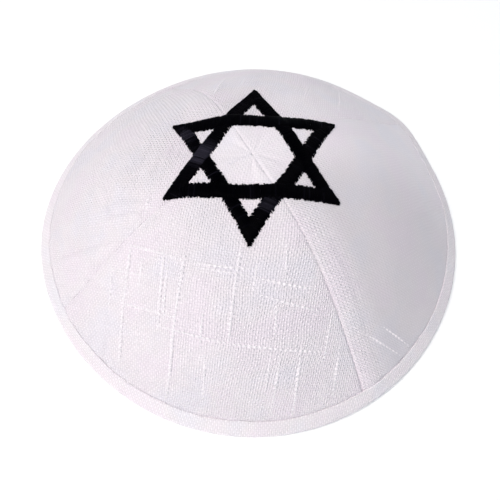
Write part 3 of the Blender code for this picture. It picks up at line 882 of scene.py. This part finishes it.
# painted sheen where the satin catches the light: bar, place along it, width and strength
PAINTED_LUSTRE = ((2, 0.29, 0.24, 0.80), (3, -0.70, 0.17, 0.6), (5, -0.46, 0.12, 0.5), (4, 0.1, 0.5, 0.08))
# how far single stitches fall short at the bars' inner and outer edges
INNER_ENDS = (0.0, 0.00005, 0.00040, 0.00052)
OUTER_ENDS = (0.0, 0.00005, 0.00016, 0.00034)
LONG_OUTER_ENDS = (0.0, 0.00006, 0.00042, 0.00055)
LOWER_BARS = (3, 4, 5)  # rougher outside, and a little wider

# which bar lies over which: bars are numbered by the way they face, 0 at 30 degrees, then every 60
OVER = {}
for first, second, upper in ((0, 1, 1), (1, 2, 1), (2, 3, 2), (3, 4, 4), (4, 5, 4), (5, 0, 0)):
    OVER[(first, second)] = upper == first
    OVER[(second, first)] = upper == second


def bar_height(bar, along, across):
    """Height of a bar's stitches above the cloth: each bar runs over one neighbour and under the other."""
    lift = 0.0
    for other, turn in ((bar + 1, 60), (bar - 1, -60)):
        angle = math.radians(turn)
        # where the neighbour's band crosses this bar
        low = (STAR_IN - across * math.cos(angle)) / math.sin(angle)
        high = (STAR_OUT - across * math.cos(angle)) / math.sin(angle)
        a, b = np.minimum(low, high), np.maximum(low, high)
        inside = smooth(-0.0011, 0.0003, along - a) * (1 - smooth(-0.0003, 0.0011, along - b))
        lift = lift + inside * (OVER_LIFT if OVER[(bar % 6, other % 6)] else UNDER_DIP)
    return BED + lift


def on_bar(bar, away, along):
    """Places in the star's plane: away from its middle towards the bar, and along the bar."""
    facing = math.radians(30 + 60 * bar)
    return away * math.cos(facing) - along * math.sin(facing), away * math.sin(facing) + along * math.cos(facing)


def bar_edges(bar):
    """Where a bar's inner and outer edges lie, by the share of its half length."""
    inner_pull = spline(BAR_PLACES, INNER_PULL[bar])
    outer_pull = spline(BAR_PLACES, OUTER_PULL[bar])
    return lambda share: (STAR_IN + MM * inner_pull(share), STAR_OUT + MM * outer_pull(share))


def make_star():
    threads = []
    for bar in range(6):
        rng.uniform(0, 1)  # its value isn't used, but it keeps the order of the random draws
        edges = bar_edges(bar)
        beside = {120: OUTER_PULL[(bar + 2) % 6][0], -120: OUTER_PULL[(bar - 2) % 6][-1]}
        for n, s in enumerate(np.arange(-HALF_BAR + 0.0003, HALF_BAR - 0.0002, STITCH_PITCH)):
            lean = 0.00022 * math.sin(n * 0.05 + bar)
            inner, outer = edges(s / HALF_BAR)
            inner = inner - 0.00072 + rng.choice(INNER_ENDS) + rng.normal(0, 0.00006)
            rough = LONG_OUTER_ENDS if bar in LOWER_BARS else OUTER_ENDS
            outer = outer + 0.00024 - rng.choice(rough) + rng.normal(0, 0.00005)
            if bar in LOWER_BARS:
                outer += 0.00012
            # near the tips the neighbour's outer edge cuts the stitch short: a point at d along this bar's facing
            # lies inside the neighbour when d cos(angle) + s sin(angle) <= STAR_OUT
            for turn in (120, -120):
                angle = math.radians(turn)
                reach = STAR_OUT + beside[turn] * MM + 0.00016 + 0.00008 * rng.normal()
                inner = max(inner, (reach - s * math.sin(angle)) / math.cos(angle))
            if outer - inner < 0.0005:
                continue
            d = STITCH_SHARES * (outer - inner) + inner
            along = s + lean * np.linspace(-1, 1, len(d)) + rng.normal(0, 0.00003, len(d))
            height = bar_height(bar, along, d) + STITCH_CROWN
            height[0] = height[-1] = STITCH_END
            azimuth, distance = star_place(*on_bar(bar, d, along))
            radius = STITCH_RADIUS * rng.uniform(0.88, 1.1)
            painted_lustre = sum(amount * math.exp(-((s / HALF_BAR - at) / width) ** 2)
                       for b, at, width, amount in PAINTED_LUSTRE if b == bar)
            # each stitch's random tone, with the painted sheen added
            tone_and_painted_light = np.clip(0.2 + 0.12 * rng.normal() + painted_lustre * rng.uniform(0.68, 0.78), 0, 1)
            threads.append(thread(azimuth, distance, -height, radius, tone_and_painted_light, up=-0.001))
    return tubes("star_stitches", threads, 0.75, black_thread)


star = make_star()


# ---- the inside: seam allowances, reverse of the star, tape stitches
ALLOWANCE = 0.0070  # how wide both panels' turned edges are, pressed to one side of each seam
ALLOWANCE_THICK = 0.00085
ALLOWANCE_START = 0.0035


def allowance_width(radius):
    return np.minimum(ALLOWANCE, 1.1 * radius)


def allowance_cover(azimuth, arc, radius):
    """How much the turned edges add to the cloth's depth."""
    panel, across = where(azimuth)
    before = radius * PANEL_SPAN[panel] * across
    width = allowance_width(radius)
    edge = 1 - smooth(width - 0.0004, width + 0.0006, before)
    return ALLOWANCE_THICK * edge * smooth(ALLOWANCE_START - 0.0005, ALLOWANCE_START + 0.0005, arc)


ALLOWANCE_ROWS = 190
STRIP_COLUMNS = 8


def make_allowance(k):
    rows = ALLOWANCE_ROWS
    seam = SEAM_AZIMUTH[k]
    end = float(length_at(np.array(seam))) - TAPE_WIDTH + 0.0010
    arc = np.linspace(ALLOWANCE_START, end, rows)[:, None]
    radius, _, _ = section(np.full_like(arc, seam), arc)
    fray = np.cumsum(rng.normal(0, 0.00006, rows))
    fray = (fray - np.linspace(fray[0], fray[-1], rows))[:, None]
    wide = allowance_width(radius) + fray * 0.6
    narrow = wide - 0.0009 + fray * 0.3
    lying = np.linspace(0.02, 1, STRIP_COLUMNS)[None]
    back_way = lying[:, ::-1]
    # across the strip: its face against the panel, the raw edge of one layer, then the other layer's
    offset = np.concatenate([wide * lying, wide + 0.00002, narrow + 0.00012, narrow * back_way], 1)
    upper = np.full((rows, STRIP_COLUMNS), ALLOWANCE_THICK) * (0.88 + 0.12 * np.sin(math.pi * back_way))
    depth = np.concatenate([np.full((rows, STRIP_COLUMNS), 0.00002), np.full((rows, 1), 0.00034),
                            np.full((rows, 1), 0.00044), upper], 1)
    azimuth = seam + offset / radius
    arcs = np.broadcast_to(arc, azimuth.shape)
    r, h, slope = section(azimuth, arcs)
    panel, across = where(azimuth)
    down = THICK + depth - relief(panel, across, azimuth, arcs, r)
    verts = place(azimuth, r - down * np.sin(slope), h - down * np.cos(slope))
    count = azimuth.shape[1]
    faces = [tuple(f) for f in grid_faces(rows, count, wrap=True)]
    faces.append(tuple(range(count)))
    faces.append(tuple((rows - 1) * count + i for i in range(count - 1, -1, -1)))
    plain = np.ones(rows * count)
    return new_mesh(PANELS[k] + "_allowance", verts.reshape(-1, 3), faces, cloth,
                    uv=flat_uv(k, azimuth, arcs).reshape(-1, 2), layers={"weave_depth": plain, "painted_light_and_shade": plain})


allowances = [make_allowance(k) for k in range(4)]

REVERSE_PITCH = 0.00050
REVERSE_SHARES = np.array([0.0, 0.06, 0.3, 0.7, 0.94, 1.0])
REVERSE_CROWN = np.array([-0.0001, 0.00004, 0.00012, 0.00012, 0.00004, -0.0001])


def make_reverse():
    """The star's threads on the inside: the same bars, more open."""
    threads = []
    for bar in range(6):
        edges = bar_edges(bar)
        for s in np.arange(-HALF_BAR + 0.0006, HALF_BAR - 0.0005, REVERSE_PITCH):
            inner, outer = edges(s / HALF_BAR)
            inner = inner - 0.0003 + rng.normal(0, 0.00015)
            outer = outer - 0.0001 + rng.normal(0, 0.00012)
            for turn in (120, -120):
                angle = math.radians(turn)
                inner = max(inner, (STAR_OUT - s * math.sin(angle)) / math.cos(angle))
            if outer - inner < 0.0006:
                continue
            d = REVERSE_SHARES * (outer - inner) + inner
            along = s + 0.00025 * np.linspace(-1, 1, 6) + rng.normal(0, 0.00005, 6)
            depth = REVERSE_CROWN + (0.00010 if bar % 2 else 0.0)
            azimuth, distance = star_place(*on_bar(bar, d, along))
            radius, _, _ = section(azimuth, distance)
            under = THICK + allowance_cover(azimuth, distance, radius) + depth
            radius = 0.00022 * rng.uniform(0.85, 1.1)
            tone_and_painted_light = np.clip(0.5 + 0.3 * rng.normal(), 0, 1)
            threads.append(thread(azimuth, distance, under, radius, tone_and_painted_light))
    return tubes("star_reverse", threads, 0.6, black_thread)


reverse = make_reverse()

TAPE_STITCHES = 150
# a hand stitch from the cloth over the tape's edge and back: share of its slant, arc from the tape's edge, depth
SLANT_SHARES = np.array([0.0, 0.1, 0.35, 0.7, 0.95, 1.0])
HAND_STITCH_ARC = np.array([0.0016, 0.0014, 0.0008, 0.0, -0.0007, -0.0009])
HAND_STITCH_DEPTH = np.array([0.00055, 0.00095, 0.00086, 0.00048, 0.00014, -0.0002])


def make_tape_stitches():
    """Slanted hand stitches that hold the tape's inner edge to the cloth."""
    threads = []
    for n in range(TAPE_STITCHES):
        azimuth = (n + 0.2 * rng.normal()) * TAU / TAPE_STITCHES
        top = float(length_at(np.array(azimuth))) - TAPE_WIDTH
        slant = rng.normal(0.0010, 0.00015) / RIM_RADIUS
        az = azimuth + slant * SLANT_SHARES
        threads.append(thread(az, top + HAND_STITCH_ARC, THICK + COVERED + HAND_STITCH_DEPTH, 0.00013, 0.5))
    return tubes("tape_stitches", threads, 0.9, sewing_thread, sides=6)


stitches = make_tape_stitches()


# ---- riding and replacing
for k, gore in enumerate(gores):
    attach(gore, "root")
    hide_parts(PANELS[k])
for obj in slub_objects:
    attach(obj, "root")
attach(tape, "root")
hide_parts("rim_band")
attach(star, "root")
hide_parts("star_embroidery")
for obj in allowances:
    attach(obj, "root")
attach(reverse, "root")
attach(stitches, "root")

# ---- floor, light and camera
floor_mesh = bpy.data.meshes.new("floor")
floor_mesh.from_pydata([(-8, -8, 0), (8, -8, 0), (8, 8, 0), (-8, 8, 0)], [], [(0, 1, 2, 3)])
floor = add_object("floor", floor_mesh)
floor_material, floor_tree, floor_shader = material("pale_floor")
set_inputs(floor_shader, {"Base Color": (0.97, 0.97, 0.97, 1), "Roughness": 0.9, "Emission Color": (1, 1, 1, 1)})
floor_place = node(floor_tree, "ShaderNodeTexCoord")
floor_away = node(floor_tree, "ShaderNodeVectorMath", operation="LENGTH")
floor_tree.links.new(floor_place.outputs["Object"], floor_away.inputs[0])
floor_glow = node(floor_tree, "ShaderNodeMapRange", interpolation_type="SMOOTHSTEP")
set_inputs(floor_glow, {"From Min": 0.4, "From Max": 2.4, "To Min": 0.12, "To Max": 0.72})
floor_tree.links.new(floor_away.outputs["Value"], floor_glow.inputs["Value"])
floor_tree.links.new(floor_glow.outputs["Result"], floor_shader.inputs["Emission Strength"])
floor.data.materials.append(floor_material)

world = bpy.data.worlds.new("studio")
world.use_nodes = True
sky = world.node_tree
sky_way = node(sky, "ShaderNodeTexCoord")
sky_split = node(sky, "ShaderNodeSeparateXYZ")
sky.links.new(sky_way.outputs["Generated"], sky_split.inputs[0])
SKY = ((0.02, (0.88, 0.89, 0.91)), (0.16, (0.70, 0.76, 0.82)), (0.34, (0.21, 0.27, 0.33)),
       (0.60, (0.095, 0.140, 0.185)))
sky.links.new(ramp(sky, sky_split.outputs[2], SKY), sky.nodes["Background"].inputs["Color"])
sky.nodes["Background"].inputs["Strength"].default_value = 1.0
bpy.context.scene.world = world

LAMP_COLOUR = (1.115, 1.065, 1.01)
LAMP_DISTANCE = 1.1
LAMP_SIZE = 0.5
LAMP_TARGET = Vector((0, 0, 0.01))
# azimuth and elevation in degrees, power in watts
LAMPS = (("key", 203, 64, 6.5), ("fill_left", 190, 40, 2.1), ("fill_front", 265, 35, 1.8), ("fill_back", 50, 45, 2.1))
for name, azimuth, elevation, energy in LAMPS:
    lamp_data = bpy.data.lights.new(name, "AREA")
    lamp_data.shape = "DISK"
    lamp_data.size = LAMP_SIZE
    lamp_data.energy = energy
    lamp_data.color = LAMP_COLOUR
    lamp = add_object(name, lamp_data)
    level, rise = polar(LAMP_DISTANCE, elevation)
    lamp.location = (*polar(level, azimuth), rise)
    lamp.rotation_euler = (LAMP_TARGET - lamp.location).to_track_quat("-Z", "Y").to_euler()

CAMERA_PLACE = Vector((0.000557, -0.105134, 0.164370))
PITCH = math.radians(61.443)
YAW = math.radians(-0.225)
ROLL = math.radians(-1.678)
camera_data = bpy.data.cameras.new("camera")
camera = add_object("camera", camera_data)
camera_data.sensor_fit = "HORIZONTAL"
camera_data.sensor_width = 36.0
camera_data.lens = 33.526
camera_data.clip_start = 0.005
back = Vector((math.sin(YAW) * math.cos(PITCH), -math.cos(YAW) * math.cos(PITCH), math.sin(PITCH)))
right = Vector((math.cos(YAW), math.sin(YAW), 0))
up = back.cross(right)
right_rolled = right * math.cos(ROLL) + up * math.sin(ROLL)
up_rolled = up * math.cos(ROLL) - right * math.sin(ROLL)
turn = Matrix((right_rolled, up_rolled, back)).transposed().to_4x4()
camera.matrix_world = Matrix.Translation(CAMERA_PLACE) @ turn
bpy.context.scene.camera = camera
bpy.context.scene.view_settings.view_transform = "Standard"
